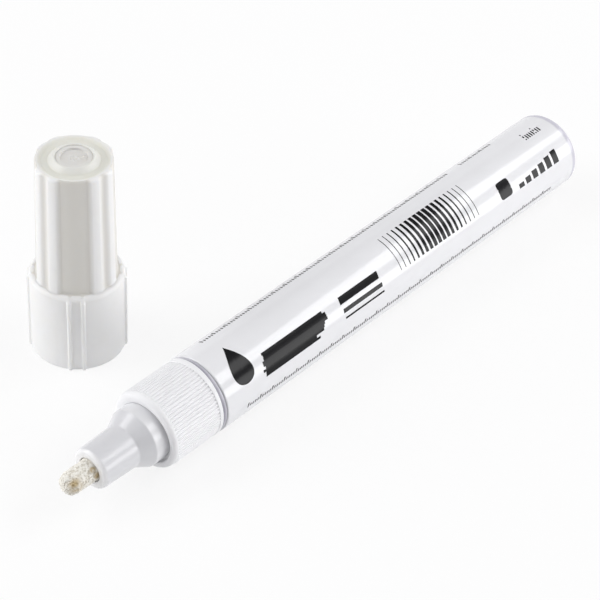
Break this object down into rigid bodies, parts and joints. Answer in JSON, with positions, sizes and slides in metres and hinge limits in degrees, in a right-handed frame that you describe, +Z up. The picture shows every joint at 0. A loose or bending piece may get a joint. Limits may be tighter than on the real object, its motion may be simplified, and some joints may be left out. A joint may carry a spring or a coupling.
{
  "type": "paint marker",
  "caption": "Valve-action paint marker: white metal barrel, ribbed collar, stepped nozzle and felt nib that presses in, with its fluted cap standing beside it.",
  "frame": {"origin": "on the table, under the middle of the box round the marker and its cap", "axes": "+X along the barrel from nib to tail, +Y from the marker to its cap, +Z up"},
  "size_m": [0.132, 0.0472, 0.0411],
  "materials": {
    "white_enamel": "gloss white enamel on aluminium",
    "grey_seal": "soft grey",
    "white_collar": "moulded, satin",
    "grey_nozzle": "moulded, semi-gloss",
    "felt": "pressed fibre, worn",
    "valve_plastic": "natural",
    "soft_seal": "matte",
    "spring_wire": "drawn wire",
    "ball_steel": "polished",
    "white_cap": "moulded, slightly translucent",
    "ivory_liner": "moulded"
  },
  "bodies": {
    "marker": {"barrel": "white_enamel", "barrel_gasket": "grey_seal", "grip_collar": "white_collar", "nozzle": "grey_nozzle", "valve_seat": "valve_plastic", "valve_cage": "valve_plastic"},
    "nib_unit": {"nib": "felt", "valve_pin": "valve_plastic", "pin_seal": "soft_seal", "valve_spring": "spring_wire"},
    "ball": {"mixing_ball": "ball_steel"},
    "cap": {"cap_shell": "white_cap", "cap_liner": "ivory_liner"}
  },
  "joints": [
    {"name": "nib_press", "type": "slide", "parent": "marker", "child": "nib_unit", "axis": [1, 0, 0], "range_m": [0, 0.002], "stiffness_N_per_m": 600, "springref_m": -0.002, "deforming": ["valve_spring"]},
    {"name": "ball_roll", "type": "slide", "parent": "marker", "child": "ball", "axis": [1, 0, 0], "range_m": [-0.0343, 0.0419]},
    {"name": "cap_lift", "type": "slide", "parent": "marker", "child": "cap", "axis": [0, 0, 1], "range_m": [0, 0.06]}
  ]
}
